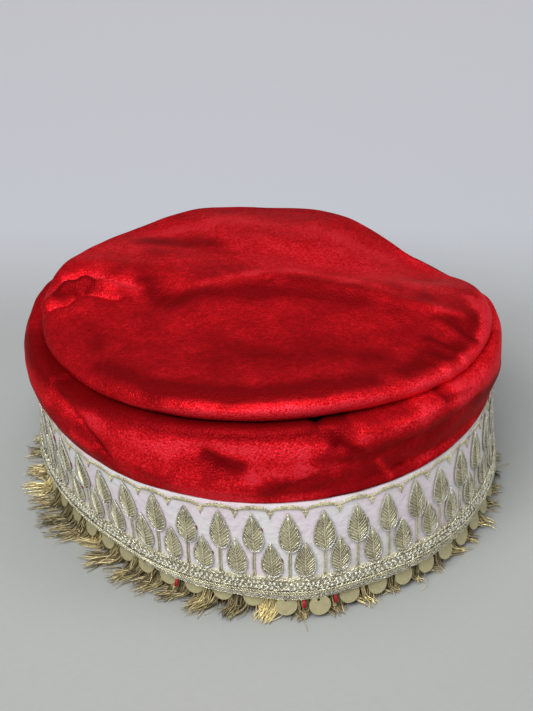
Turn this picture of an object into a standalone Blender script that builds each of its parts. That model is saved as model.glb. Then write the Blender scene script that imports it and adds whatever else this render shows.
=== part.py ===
"""Embroidered velvet cap: a soft velvet crown gathered into an ivory satin band,
with a metallic braid along the band's lower edge, a row of sequins and a tassel fringe.

The frame has +Z up and its origin on the surface that the cap stands on, under the
middle of the cap's box. Azimuths are in degrees from the front (-Y), positive towards +X.
Tables are in millimetres and degrees, and everything else is in metres.
"""

import math
import random

import bmesh
import bpy

MM = 0.001

# Driving dimensions
BAND_RADIUS = 90.0 * MM        # outer face of the satin band, across the head
DEPTH_RATIO = 1.04             # the head opening is this much deeper than it is wide
AXIS_X = 0.7 * MM              # the crown's axis, from the middle of the cap's box
AXIS_Y = 1.6 * MM
BAND_TOP = 51.0 * MM
BAND_BOTTOM = 11.6 * MM        # hidden behind the braid
BAND_THICKNESS = 1.2 * MM
TRIM_BOTTOM = 8.8 * MM         # lowest edge of the braid, before its lift
BRAID_HEIGHT = 9.4 * MM
BRAID_THICKNESS = 1.4 * MM
VELVET_THICKNESS = 1.6 * MM
GAP = 0.3 * MM                 # between neighbouring solids
RIM_SETBACK = 4.5 * MM         # velvet wall behind the band's outer face at the rim
SEAM_PLY = 4.5 * MM            # seam allowance, folded inwards
SEAM_DROP = 1.2 * MM           # seam below the wall's shoulder
ROLL_DEPTH = 4.0 * MM          # least drop from the top's widest line to the seam
SEAM_INSET = 1.5 * MM          # seam behind that line
ROLL_WIDTH = 5.5 * MM          # crest of the rolled edge in from that line
ROLL_RISE = 2.6 * MM           # crest of the rolled edge above that line
SEQUIN_COUNT = 50
SEQUIN_DIAMETER = 8.0 * MM
SEQUIN_THICKNESS = 0.6 * MM
SEQUIN_INSET = 1.2 * MM        # top of a sequin behind the band's outer face
SEQUIN_NECK = 0.07             # share of a sequin's height where it meets its tape
TAPE_THICKNESS = 0.7 * MM
TAPE_INSET = 1.8 * MM          # fringe tape behind the band's outer face
FRINGE_FLOOR = 0.1 * MM
LOCK_THICKNESS = 1.5 * MM
STATIONS = 60                  # round the velvet, band and braid
CENTRE_HEIGHT = 88.0 * MM      # middle of the crown's top

# Section of the cap at each azimuth: the braid's lower edge moved outwards and lifted,
# the sequins' lowest points out from that edge and above the floor, the tips of the fringe,
# the wall's waist, bulge and shoulder, and the top's rolled edge.
SECTION_COLUMNS = ("azimuth", "lower_out", "lower_lift", "sequin_out", "sequin_low", "tip_r",
                   "waist_r", "waist_z", "bulge_r", "bulge_z", "shoulder_r", "shoulder_z",
                   "edge_r", "edge_z")
SECTION_ROWS = (
    (-180, -1.0, 0.0, 1.5, 2.4, 95.0, 90.5, 55.0, 92.0, 61.5, 90.0, 68.0, 84.0, 70.6),
    (-160, -0.5, 0.3, 1.8, 2.8, 94.5, 90.8, 55.0, 92.0, 62.0, 90.0, 68.5, 84.0, 73.0),
    (-140, 0.5, 0.8, 1.2, 2.2, 96.0, 91.0, 55.5, 92.5, 61.5, 90.5, 67.5, 84.0, 71.8),
    (-120, 1.0, 1.5, 1.6, 3.0, 95.5, 92.0, 55.5, 93.5, 62.5, 91.0, 69.0, 84.0, 75.6),
    (-100, 0.8, 2.4, 1.0, 3.6, 96.5, 92.3, 55.5, 94.6, 63.5, 92.8, 72.5, 85.5, 78.4),
    (-80, -2.0, 3.0, 0.8, 4.2, 97.0, 92.8, 56.0, 94.8, 64.0, 92.0, 71.5, 86.0, 75.3),
    (-60, -5.6, 2.4, 0.6, 4.0, 95.5, 93.0, 56.5, 94.2, 64.0, 91.0, 72.0, 84.5, 78.0),
    (-40, -6.4, 1.6, 0.2, 3.8, 96.0, 92.2, 55.8, 93.4, 61.0, 89.6, 75.5, 84.0, 81.6),
    (-20, -2.8, 0.2, 0.0, 3.8, 92.5, 91.6, 55.2, 93.2, 60.0, 88.8, 78.5, 84.0, 85.2),
    (0, -0.4, -0.5, 0.4, 3.8, 96.5, 91.0, 55.2, 92.8, 60.5, 88.6, 80.4, 84.0, 86.8),
    (20, 1.4, 0.0, 1.0, 3.0, 96.5, 89.8, 56.5, 92.8, 71.5, 89.6, 80.6, 84.0, 87.4),
    (40, 2.4, 0.5, 1.6, 2.2, 94.5, 89.5, 57.5, 93.6, 72.5, 90.8, 79.0, 84.2, 83.2),
    (60, 2.6, 0.5, 2.0, 2.0, 97.0, 90.5, 57.5, 94.2, 70.0, 91.8, 76.0, 86.0, 79.2),
    (80, 2.4, 0.5, 1.6, 2.0, 96.0, 92.0, 56.5, 94.6, 65.5, 92.2, 75.5, 88.0, 77.6),
    (100, 1.5, 0.5, 1.4, 2.4, 96.0, 92.5, 56.0, 94.5, 62.5, 91.2, 71.5, 86.5, 73.6),
    (120, 0.0, 0.2, 1.8, 2.6, 95.5, 91.8, 55.0, 93.0, 59.0, 90.2, 62.4, 83.2, 65.2),
    (140, -1.0, 0.0, 1.2, 2.4, 96.0, 91.5, 55.0, 92.5, 58.5, 90.0, 60.7, 83.0, 65.4),
    (160, -1.3, 0.0, 1.6, 2.6, 94.5, 91.0, 55.0, 92.0, 61.0, 90.0, 64.5, 83.8, 71.2),
)

# Creases and swells of the wall, each a stroke from one place to another on it.
WALL_FOLD_COLUMNS = ("azimuth_0", "z_0", "azimuth_1", "z_1", "width", "out")
WALL_FOLDS = (
    (-62, 72.0, -36, 58.0, 2.6, -1.6),
    (-15, 72.0, -5, 62.5, 5.0, -1.6),
    (12, 80.0, 17, 74.5, 4.0, -2.0),
    (24, 62.0, 62, 62.0, 4.5, -1.4),
    (33, 56.0, 52, 56.5, 2.6, 1.0),
    (47, 76.5, 55, 73.0, 3.0, -2.4),
    (78, 68.0, 104, 60.0, 4.0, -1.6),
    (112, 58.5, 150, 57.0, 3.0, -1.2),
    (160, 63.0, 186, 57.5, 4.0, -1.6),
    (196, 66.0, 222, 58.0, 4.0, -1.5),
    (236, 58.0, 262, 67.0, 4.5, -1.6),
)

# Hollows and ridges of the top, each a stroke in plan from the crown's axis.
TOP_FOLD_COLUMNS = ("x_0", "y_0", "x_1", "y_1", "width", "up")
TOP_FOLDS = (
    (-84, 9, -71, 11, 6.0, -3.6),
    (-66, 8, -40, -7, 6.5, -3.0),
    (-82, -8, -72, 2, 4.5, 2.4),
    (-66, 1, -48, -7, 4.5, 2.0),
    (-76, 22, -52, 14, 6.0, 1.8),
    (-24, -12, 4, 2, 12.0, 2.2),
    (14, 0, 38, -3, 10.0, 2.4),
    (50, -8, 74, -20, 9.0, 2.4),
    (0, 24, 40, 20, 12.0, -2.4),
    (58, 48, 66, 24, 10.0, -3.2),
    (34, 72, 46, 64, 7.0, 1.6),
    (-36, 58, -24, 38, 8.0, -2.2),
    (-50, -34, 46, -38, 14.0, -1.8),
    (66, -42, 78, -24, 4.5, -2.4),
)

# The trim's lower edge is nudged outwards at the front, where the braid's ends meet, and the
# sequins under it hang lower.
FRONT_NUDGE_AZIMUTH = 9.0
FRONT_NUDGE_WIDTH = 9.0
FRONT_NUDGE = 2.6 * MM
FRONT_DROP = 2.4 * MM

# The sequins and tassels to the right of the front are strung a few degrees further round.
STRINGING_AZIMUTH = 30.0
STRINGING_WIDTH = 35.0
STRINGING_SHIFT = 2.5


def smooth_table(rows, columns, azimuth):
    """The table's values at an azimuth, on a smooth closed curve through its rows."""
    step = 360.0 / len(rows)
    place = (azimuth - rows[0][0]) / step
    first = math.floor(place)
    t = place - first
    around = [rows[(first + k) % len(rows)] for k in (-1, 0, 1, 2)]
    values = {}
    for column, name in enumerate(columns[1:], start=1):
        before, start, end, after = (row[column] for row in around)
        values[name] = MM * catmull_rom(before, start, end, after, t)
    return values


def catmull_rom(before, start, end, after, t):
    """One span of a smooth curve, from start at t = 0 to end at t = 1."""
    return 0.5 * (2 * start + (end - before) * t
                  + (2 * before - 5 * start + 4 * end - after) * t ** 2
                  + (3 * start - before - 3 * end + after) * t ** 3)


def through(points, steps):
    """Samples of a smooth curve through the points, with this many steps a span."""
    ends = [points[0]] + list(points) + [points[-1]]
    samples = [points[0]]
    for span in range(len(points) - 1):
        four = ends[span:span + 4]
        for k in range(1, steps + 1):
            samples.append(tuple(catmull_rom(*axis, k / steps) for axis in zip(*four)))
    return samples


def stroke(point, start, end, width):
    """How strongly a fold's stroke acts at a point: 1 on it, fading across and past its ends."""
    along = [e - s for s, e in zip(start, end)]
    length_squared = sum(c * c for c in along)
    t = sum((p - s) * c for p, s, c in zip(point, start, along)) / length_squared
    t = min(1.0, max(0.0, t))
    away = sum((p - s - c * t) ** 2 for p, s, c in zip(point, start, along))
    return math.exp(-away / width ** 2)


def around_axis(radius, azimuth, z):
    """A point of the cap, from its radius and azimuth on the oval plan."""
    angle = math.radians(azimuth)
    return (AXIS_X + radius * math.sin(angle),
            AXIS_Y - DEPTH_RATIO * radius * math.cos(angle), z)


def hump(azimuth, middle, width):
    """A smooth hump round an azimuth: 1 at its middle, fading over its width."""
    return math.exp(-((azimuth - middle) / width) ** 2)


def lower_edge(azimuth):
    """Radius and height of the trim's lower edge, on the band's outer face."""
    section = smooth_table(SECTION_ROWS, SECTION_COLUMNS, azimuth)
    nudge = FRONT_NUDGE * hump(azimuth, FRONT_NUDGE_AZIMUTH, FRONT_NUDGE_WIDTH)
    return BAND_RADIUS + section["lower_out"] + nudge, TRIM_BOTTOM + section["lower_lift"]


def band_face(azimuth, z):
    """Radius of the band's outer face at a height, between its lower and upper edge."""
    low_r, low_z = lower_edge(azimuth)
    t = min(1.0, max(0.0, (BAND_TOP - z) / (BAND_TOP - low_z)))
    return BAND_RADIUS + (low_r - BAND_RADIUS) * t


def wall_fold(azimuth, z):
    """How far the wall's folds move it outwards at a place above the band."""
    out = 0.0
    for azimuth_0, z_0, azimuth_1, z_1, width, depth in WALL_FOLDS:
        turn = 360.0 * round(((azimuth_0 + azimuth_1) / 2 - azimuth) / 360.0)
        arc = math.radians(azimuth + turn) * BAND_RADIUS / MM
        start = (math.radians(azimuth_0) * BAND_RADIUS / MM, z_0)
        end = (math.radians(azimuth_1) * BAND_RADIUS / MM, z_1)
        out += depth * MM * stroke((arc, z / MM), start, end, width)
    return out


def top_fold(x, y):
    """How far the folds of the crown's top lift it at a place in plan, from its axis."""
    up = 0.0
    for x_0, y_0, x_1, y_1, width, height in TOP_FOLDS:
        up += height * MM * stroke((x / MM, y / MM), (x_0, y_0), (x_1, y_1), width)
    return up


def seam_height(section):
    """Height at which the wall and the top are sewn together, under the rolled edge."""
    return min(section["shoulder_z"] - SEAM_DROP, section["edge_z"] - ROLL_DEPTH)


def wall_profile(azimuth):
    """The wall's outer face as radius and height, from the rim to its seam allowance."""
    section = smooth_table(SECTION_ROWS, SECTION_COLUMNS, azimuth)
    inset = BAND_THICKNESS + GAP
    low_r, low_z = lower_edge(azimuth)
    tape_top = low_z + 5.4 * MM
    above = min(low_r, band_face(azimuth, tape_top))
    setback = RIM_SETBACK - VELVET_THICKNESS
    behind = [(low_r - setback, 0.0), (above - setback, tape_top),
              (band_face(azimuth, 24 * MM) - inset - GAP, 24 * MM)]
    seam_z = seam_height(section)
    free = through([
        (band_face(azimuth, BAND_TOP - 2.0 * MM) - inset, BAND_TOP - 2.0 * MM),
        (BAND_RADIUS - inset, BAND_TOP + 1.4 * MM),
        (section["waist_r"], section["waist_z"]),
        (section["bulge_r"], section["bulge_z"]),
        (section["shoulder_r"], section["shoulder_z"]),
        (section["edge_r"] - SEAM_INSET, seam_z - GAP / 2),
        (section["edge_r"] - SEAM_INSET - SEAM_PLY, seam_z - GAP / 2),
    ], 2)
    del free[10], free[1]
    top = len(free) - 3
    folded = [(radius + (wall_fold(azimuth, z) if 2 <= k < top else 0.0), z)
              for k, (radius, z) in enumerate(free)]
    return behind + folded


def top_profile(azimuth):
    """The top's upper face as radius and height, from near the axis to its seam allowance."""
    section = smooth_table(SECTION_ROWS, SECTION_COLUMNS, azimuth)
    seam_z = seam_height(section)
    edge_r, edge_z = section["edge_r"], section["edge_z"]
    crest_r, crest_z = edge_r - ROLL_WIDTH, edge_z + ROLL_RISE
    inner = []
    for share in (0.16, 0.34, 0.52, 0.7, 0.86):
        radius = crest_r * share
        blend = share ** 1.6
        z = CENTRE_HEIGHT * (1 - blend) + crest_z * blend
        x = radius * math.sin(math.radians(azimuth))
        y = -DEPTH_RATIO * radius * math.cos(math.radians(azimuth))
        inner.append((radius, z + top_fold(x, y)))
    edge_fold = top_fold(crest_r * math.sin(math.radians(azimuth)),
                         -DEPTH_RATIO * crest_r * math.cos(math.radians(azimuth)))
    rolled = [
        (crest_r, crest_z + max(edge_fold, -3.6 * MM)),
        (edge_r - 1.2 * MM, edge_z + 1.7 * MM + max(edge_fold, -2.0 * MM) * 0.6),
        (edge_r, edge_z),
        (edge_r - 1.0 * MM, edge_z - 2.2 * MM),
        (edge_r - 3.0 * MM, edge_z - 3.2 * MM),
        (edge_r - 3.4 * MM, seam_z + GAP / 2),
        (edge_r - SEAM_INSET - SEAM_PLY, seam_z + GAP / 2),
    ]
    return inner + rolled


def inner_face(profile, thickness):
    """The profile moved square to itself to its right-hand side by the cloth's thickness."""
    moved = []
    for k, (radius, z) in enumerate(profile):
        before = profile[max(0, k - 1)]
        after = profile[min(len(profile) - 1, k + 1)]
        run, rise = after[0] - before[0], after[1] - before[1]
        length = math.hypot(run, rise)
        moved.append((radius + rise / length * thickness, z - run / length * thickness))
    return moved


def azimuths(count):
    """This many evenly spaced azimuths, all the way round."""
    return [360.0 * k / count - 180.0 for k in range(count)]


def material(name, colour, roughness, metallic=0.0):
    """A Principled material with one colour."""
    made = bpy.data.materials.new(name)
    made.use_nodes = True
    shader = made.node_tree.nodes["Principled BSDF"]
    shader.inputs["Base Color"].default_value = (*colour, 1.0)
    shader.inputs["Roughness"].default_value = roughness
    shader.inputs["Metallic"].default_value = metallic
    return made


def add_object(name, mesh, finish):
    """Closes the bmesh into an object with its faces pointing out, smooth but for its edges."""
    bmesh.ops.recalc_face_normals(mesh, faces=mesh.faces)
    data = bpy.data.meshes.new(name)
    mesh.to_mesh(data)
    mesh.free()
    data.shade_smooth()
    data.set_sharp_from_angle(angle=math.radians(40))
    data.materials.append(finish)
    made = bpy.data.objects.new(name, data)
    bpy.context.scene.collection.objects.link(made)
    return made


def closed_ring(sections):
    """A mesh swept round the cap, from the closed section of points at each station."""
    mesh = bmesh.new()
    loops = [[mesh.verts.new(point) for point in section] for section in sections]
    for here, there in zip(loops, loops[1:] + loops[:1]):
        for k in range(len(here)):
            after = (k + 1) % len(here)
            mesh.faces.new((here[k], here[after], there[after], there[k]))
    return mesh


def velvet_wall(finish):
    """The crown's side: from the rim, up behind the band, and out over its upper edge."""
    sections = []
    for azimuth in azimuths(STATIONS):
        outer = wall_profile(azimuth)
        inner = inner_face(outer, -VELVET_THICKNESS)
        inner[0] = (inner[0][0], 0.0)
        sections.append([around_axis(r, azimuth, z) for r, z in outer + inner[::-1]])
    return add_object("velvet_wall", closed_ring(sections), finish)


def velvet_top(finish):
    """The crown's round top, whose edge rolls over the seam to the wall."""
    mesh = bmesh.new()
    outer_loops, inner_loops = [], []
    for azimuth in azimuths(STATIONS):
        outer = top_profile(azimuth)
        inner = inner_face(outer, VELVET_THICKNESS)
        outer_loops.append([mesh.verts.new(around_axis(r, azimuth, z)) for r, z in outer])
        inner_loops.append([mesh.verts.new(around_axis(r, azimuth, z)) for r, z in inner])
    middle = CENTRE_HEIGHT + top_fold(0.0, 0.0)
    poles = (mesh.verts.new((AXIS_X, AXIS_Y, middle)),
             mesh.verts.new((AXIS_X, AXIS_Y, middle - VELVET_THICKNESS)))
    for loops, pole in zip((outer_loops, inner_loops), poles):
        for here, there in zip(loops, loops[1:] + loops[:1]):
            mesh.faces.new((pole, here[0], there[0]))
            for k in range(len(here) - 1):
                mesh.faces.new((here[k], here[k + 1], there[k + 1], there[k]))
    rims = [(outer[-1], inner[-1]) for outer, inner in zip(outer_loops, inner_loops)]
    for here, there in zip(rims, rims[1:] + rims[:1]):
        mesh.faces.new((here[0], here[1], there[1], there[0]))
    return add_object("velvet_top", mesh, finish)


def satin_band(finish):
    """The ivory band round the lower half of the cap."""
    sections = []
    for azimuth in azimuths(STATIONS):
        bottom = BAND_BOTTOM + lower_edge(azimuth)[1] - TRIM_BOTTOM
        heights = [bottom + (BAND_TOP - bottom) * share for share in (0, 0.35, 0.7, 1)]
        outer = [(band_face(azimuth, z), z) for z in heights]
        inner = [(r - BAND_THICKNESS, z) for r, z in outer]
        sections.append([around_axis(r, azimuth, z) for r, z in outer + inner[::-1]])
    return add_object("satin_band", closed_ring(sections), finish)


def gold_braid(finish):
    """The thick metallic braid sewn over the band's lower edge."""
    profile = ((0.0, 0.0), (0.75, 0.0), (1.0, 0.18), (0.8, 0.5), (0.9, 0.82), (0.55, 1.0),
               (0.0, 1.0))
    sections = []
    for azimuth in azimuths(STATIONS):
        low_z = lower_edge(azimuth)[1]
        section = []
        for out, up in profile:
            z = low_z + up * BRAID_HEIGHT
            radius = band_face(azimuth, z) + GAP + out * BRAID_THICKNESS
            section.append(around_axis(radius, azimuth, z))
        sections.append(section)
    return add_object("gold_braid", closed_ring(sections), finish)


def hung_ring(name, finish, count, tape, strip, share, first):
    """A tape round the cap with a strip hanging from each of its evenly spaced places.

    tape(azimuth) gives the tape's section: its outer face upwards, then its inner downwards.
    strip(index, azimuth) gives the strip's loops of four points.
    share is the part of each space that a strip takes of the tape's length, and first is
    the place of the first strip within its space."""
    mesh = bmesh.new()
    space = 360.0 / count
    half = space * share / 2
    stations = []
    middles = [space * (index + first) - 180.0 for index in range(count)]
    middles = [middle + STRINGING_SHIFT * hump(middle, STRINGING_AZIMUTH, STRINGING_WIDTH)
               for middle in middles]
    for middle in middles:
        for azimuth in (middle - half, middle + half):
            stations.append([mesh.verts.new(around_axis(radius, azimuth, z))
                             for radius, z in tape(azimuth)])
    for number, here in enumerate(stations):
        there = stations[(number + 1) % len(stations)]
        for k in range(3):
            mesh.faces.new((here[k], here[k + 1], there[k + 1], there[k]))
        if number % 2:
            mesh.faces.new((here[3], here[0], there[0], there[3]))
            continue
        index = number // 2
        loop = [here[0], there[0], there[3], here[3]]
        for points in strip(index, middles[index]):
            after = [mesh.verts.new(point) for point in points]
            for k in range(4):
                mesh.faces.new((loop[k], loop[(k + 1) % 4], after[(k + 1) % 4], after[k]))
            loop = after
        mesh.faces.new(loop)
    return add_object(name, mesh, finish)


def tape_section(azimuth, inset, bottom, top):
    """A tape's four section points, inside the band's face and above the trim's lower edge."""
    low = lower_edge(azimuth)[1]
    below, above = (band_face(azimuth, low + up) - inset for up in (bottom, top))
    return ((below, low + bottom), (above, low + top), (above - TAPE_THICKNESS, low + top),
            (below - TAPE_THICKNESS, low + bottom))


def across(azimuth, radius, z, half_width, thickness, lean):
    """Four points of a strip's section: its outer edge left to right, then its inner edge."""
    angle = math.radians(azimuth)
    side = (math.cos(angle), math.sin(angle), 0.0)
    out = (math.sin(angle) * math.cos(lean), -math.cos(angle) * math.cos(lean), math.sin(lean))
    middle = around_axis(radius, azimuth, z)
    corners = ((-1, 1), (1, 1), (1, -1), (-1, -1))
    return [tuple(m + s * half_width * u + o * thickness / 2 * v
                  for m, s, o in zip(middle, side, out)) for u, v in corners]


def sequin_row(finish):
    """Round sequins strung under the braid, each tipped outwards over the fringe.

    Each is made from where it comes out under its tape down to its lowest point."""

    def tape(azimuth):
        return tape_section(azimuth, 0.5 * MM, 0.4 * MM, 2.3 * MM)

    def disc(index, azimuth):
        face, low = lower_edge(azimuth)
        top = (face - SEQUIN_INSET, low + 0.1 * MM)
        section = smooth_table(SECTION_ROWS, SECTION_COLUMNS, azimuth)
        dropped = FRONT_DROP * hump(azimuth, FRONT_NUDGE_AZIMUTH, FRONT_NUDGE_WIDTH)
        drop = top[1] - section["sequin_low"] + dropped
        tip = math.atan2(SEQUIN_INSET + section["sequin_out"], drop)
        hidden = max(SEQUIN_NECK, 1.0 - drop / math.cos(tip) / SEQUIN_DIAMETER)
        loops = []
        for share in (0.0, 0.25, 0.5, 0.75, 1.0):
            down = hidden + (0.97 - hidden) * share
            half_width = SEQUIN_DIAMETER * math.sqrt(down * (1 - down))
            length = (down - hidden) * SEQUIN_DIAMETER
            loops.append(across(azimuth, top[0] + length * math.sin(tip),
                                top[1] - length * math.cos(tip), half_width,
                                SEQUIN_THICKNESS, tip))
        return loops

    return hung_ring("sequin_row", finish, SEQUIN_COUNT, tape, disc, 0.2, 0.5)


def tassel_fringe(finish):
    """The thread fringe: locks from a hidden tape, splayed outwards on the floor."""
    spread = random.Random(7)
    jitter = [(spread.uniform(-1, 1), spread.uniform(-1, 1)) for _ in range(SEQUIN_COUNT)]

    def tape(azimuth):
        return tape_section(azimuth, TAPE_INSET, 1.0 * MM, 4.8 * MM)

    def lock(index, azimuth):
        face, low = lower_edge(azimuth)
        swing, reach = jitter[index]
        tip_r = smooth_table(SECTION_ROWS, SECTION_COLUMNS, azimuth)["tip_r"] + reach * 1.5 * MM
        start = face - TAPE_INSET - TAPE_THICKNESS / 2
        lying = FRINGE_FLOOR + LOCK_THICKNESS * 0.55
        return [
            across(azimuth, start + 0.1 * MM, low * 0.55, 1.3 * MM, 1.2 * MM, math.radians(10)),
            across(azimuth, start + 1.2 * MM, lying + 0.8 * MM, 1.6 * MM, LOCK_THICKNESS,
                   math.radians(50)),
            across(azimuth + 0.4 * swing, start + 3.4 * MM, lying, 2.2 * MM,
                   LOCK_THICKNESS, math.radians(85)),
            across(azimuth + 1.2 * swing, start * 0.45 + tip_r * 0.55, lying - 0.1 * MM, 3.2 * MM,
                   LOCK_THICKNESS * 0.85, math.radians(90)),
            across(azimuth + 2.0 * swing, tip_r, FRINGE_FLOOR + 0.3 * MM, 1.1 * MM,
                   0.5 * MM, math.radians(90)),
        ]

    return hung_ring("tassel_fringe", finish, SEQUIN_COUNT, tape, lock, 0.24, 0.0)


def main():
    for old in list(bpy.data.objects):
        bpy.data.objects.remove(old)
    velvet = material("red_velvet", (0.55, 0.01, 0.02), 0.6)
    satin = material("ivory_satin", (0.78, 0.74, 0.74), 0.4)
    zari = material("gold_zari", (0.62, 0.56, 0.36), 0.35, 0.7)
    sequin = material("sequin_gold", (0.66, 0.6, 0.38), 0.4, 0.6)
    thread = material("tassel_thread", (0.58, 0.5, 0.28), 0.4, 0.6)
    velvet_wall(velvet)
    velvet_top(velvet)
    satin_band(satin)
    gold_braid(zari)
    sequin_row(sequin)
    tassel_fringe(thread)


main()
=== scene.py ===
"""Looks of the embroidered velvet cap: its velvet, satin, metallic embroidery, sequins and fringe.

The construction is loaded as a fixed frame, and every piece here is laid on it. Lengths in
the tables are millimetres and azimuths are degrees from the front, positive towards +X.
"""

import math

import bpy
import numpy as np
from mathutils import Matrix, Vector, noise
from mathutils.bvhtree import BVHTree


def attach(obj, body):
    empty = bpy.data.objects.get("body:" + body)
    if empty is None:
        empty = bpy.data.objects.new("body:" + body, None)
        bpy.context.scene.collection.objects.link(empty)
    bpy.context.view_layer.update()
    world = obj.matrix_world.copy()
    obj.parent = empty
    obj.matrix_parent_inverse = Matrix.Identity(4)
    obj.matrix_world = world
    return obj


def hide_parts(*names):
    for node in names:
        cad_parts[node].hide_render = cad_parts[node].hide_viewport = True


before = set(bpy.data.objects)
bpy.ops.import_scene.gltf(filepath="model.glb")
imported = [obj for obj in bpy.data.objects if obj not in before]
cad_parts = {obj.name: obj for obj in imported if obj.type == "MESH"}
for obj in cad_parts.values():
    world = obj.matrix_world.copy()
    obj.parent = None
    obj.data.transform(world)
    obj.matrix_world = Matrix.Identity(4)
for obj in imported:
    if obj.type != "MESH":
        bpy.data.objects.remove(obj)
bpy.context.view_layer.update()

bl_info = {
    "name": "Embroidered Velvet Cap",
    "version": (1, 0, 0),
    "blender": (4, 5, 0),
    "location": "3D View > Sidebar > Cap",
    "description": "Dresses the frame of a velvet cap in velvet, satin, embroidery and fringe",
    "category": "Object",
}

MM = 0.001

# Places read from the frame: the axis of the oval band and the oval's proportions
BAND_VERTS = np.array([v.co for v in bpy.data.objects["satin_band"].data.vertices])
BAND_RIM = BAND_VERTS[BAND_VERTS[:, 2] > BAND_VERTS[:, 2].max() - 0.5 * MM]
AXIS = (BAND_RIM[:, :2].max(axis=0) + BAND_RIM[:, :2].min(axis=0)) / 2
BAND_SPAN = BAND_RIM[:, :2].max(axis=0) - BAND_RIM[:, :2].min(axis=0)
OVAL = BAND_SPAN[1] / BAND_SPAN[0]
BAND_TOP = BAND_RIM[:, 2].max() / MM

TURN = 360.0
FACE_HEIGHT = 42.2  # of the band at the front, with its trim
ARC = math.radians(1.0) * 91.5  # millimetres of the band's face in a degree
OUTSIDE = 120.0  # radius clear of the cap, where rays towards it start
OVERHEAD = 130.0  # height clear of the cap, where rays down to it start
LEAF_COUNT = 44
LEAF_PITCH = TURN / LEAF_COUNT
FIRST_LEAF = 5.3  # azimuth of one of the upper leaves
SEQUIN_COUNT = 50

# Where the string of sequins and tassels has slid along the rim: azimuth, width and shift
STRINGING = (30.0, 35.0, 2.5)

# The velvet wall's creases and swells, finer than the frame's, each along a stroke.
# Columns: azimuth, height, azimuth, height, width, how far out
WALL_FOLDS = (
    (13, 80.5, 17, 74.5, 2.2, -1.8),
    (17, 74.5, 21, 70.5, 2, -0.8),
    (60, 67, 36, 66.5, 2.4, -1),
    (36, 66.5, 18, 66, 2.2, -1),
    (18, 66, 4, 58, 2.2, -1),
    (55, 75.6, 24, 77.4, 2, 0.7),
    (48, 76.5, 55, 73, 1.8, -1.1),
    (28, 63, 31, 55, 2, 0.7),
    (32, 55.7, 48, 55.2, 1.8, -1),
    (-62, 71.5, -47, 67.6, 1.4, -1.1),
    (-47, 67.6, -38, 58.5, 1.4, -1.2),
    (-14.5, 72.5, -10, 67, 2.6, -0.9),
    (-10, 67, -5.5, 62.5, 2.2, -0.7),
    (-30, 58, -24, 54.5, 1.8, -0.7),
)

# How the wall's pile lies, with painted light and shade in it, at rest and along strokes: brighter
# above 0 (painted highlight where the light falls), darker below (painted shade, as in the groove
# under the top's edge).
# Columns: azimuth, height, azimuth, height, width, how much brighter
WALL_PILE_AND_LIGHT_REST = -0.25
WALL_PILE_AND_LIGHT = (
    # Painted light on the wall's lit front and left
    (-60, 66, -44, 71, 3.6, 0.7),
    (-44, 69.5, -22, 70.5, 4.4, 0.95),
    (-22, 71.5, 8, 73.5, 4.4, 0.95),
    (-36, 62.5, -16, 62.5, 4, 0.7),
    (-20, 56, -4, 56, 3.6, 0.8),
    (-18, 53.6, 14, 53.2, 2.2, 0.9),
    (-34, 56.5, -24, 54.5, 2.6, 0.5),
    (-50, 59.5, -44, 58.5, 2.6, 0.8),
    (-3, 65, 8, 66.5, 3.6, 1),
    (8, 66, 17, 66, 2.6, 1),
    # Painted shade in the groove under the top's rolled edge
    (-56, 73, -33, 77.8, 2.2, -1),
    (-84, 69, -56, 73, 2.2, -0.9),
    (-33, 77.8, -11, 80.8, 2, -1.7),
    (-11, 80.8, 19, 81.6, 2, -1.6),
    (-18, 74, 6, 76.5, 2.6, 0.5),
    (62, 64, 88, 56, 3.5, -0.8),
    (-13.5, 71, -5, 68.5, 2.5, -1.3),
    (-13.5, 71, -10, 66, 2.2, -0.6),
    (-10, 61, -2, 62.5, 2.4, 0.7),
    (-52, 71, -38, 60, 1.6, -0.4),
    (10, 74, 14, 74.5, 2.6, 0.9),
    # Painted light along the upper right of the wall
    (22, 75.6, 40, 76.4, 3, 1),
    (40, 76.4, 54, 74.2, 3.4, 1),
    (54, 74.2, 88, 68, 4.8, 1.3),
    (84, 71, 110, 68, 5, 1.1),
    (14, 80, 16, 76.5, 1.9, -1.6),
    (16, 76.5, 22, 71.5, 1.9, -0.8),
    (40, 54.2, 62, 53.4, 2, 0.6),
    (47, 77, 55, 73.6, 1.4, -1),
    (27, 63.4, 31, 54, 1.2, 0.9),
    (36, 57, 44, 56, 1.4, 0.6),
    (-84, 64, -62, 64, 4, 0.6),
)

# The creases and swells of the crown's top, in plan from the cap's axis, where the way down
# over the rolled edge counts on outwards as if the cloth were laid flat.
# Columns: x, y, x, y, width, how far up
TOP_FOLDS = (
    (-84, -1, -77, 8, 3, -1.8),
    (-77, 7, -70, 9.5, 3.2, -2.8),
    (-70, 9.5, -62, 5, 3.2, -2.6),
    (2, -3, 34, -7, 3, -0.7),
    (34, -7, 66, -15, 3, -0.7),
    (-62, 6, -52, -1, 3, -1.4),
    (-84, -6.5, -77, -4, 2, 1.2),
    (-77, -4, -72, 3.5, 2, 1.6),
    (-72, 3.5, -56, -4, 2.2, 1.6),
    (-80, 14.5, -72, 17, 2.6, 1.2),
    (-72, 17, -60, 8.5, 2.6, 1.2),
    (-60, 8.5, -46, 1, 2.6, 0.8),
    (78, -32, 66, -23, 2, -1.1),
    (74, -43, 62, -36, 2, -1),
    (68, -53, 60, -46, 2.2, -1.2),
    (-35, 57, -24, 39, 5, -1),
)
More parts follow.
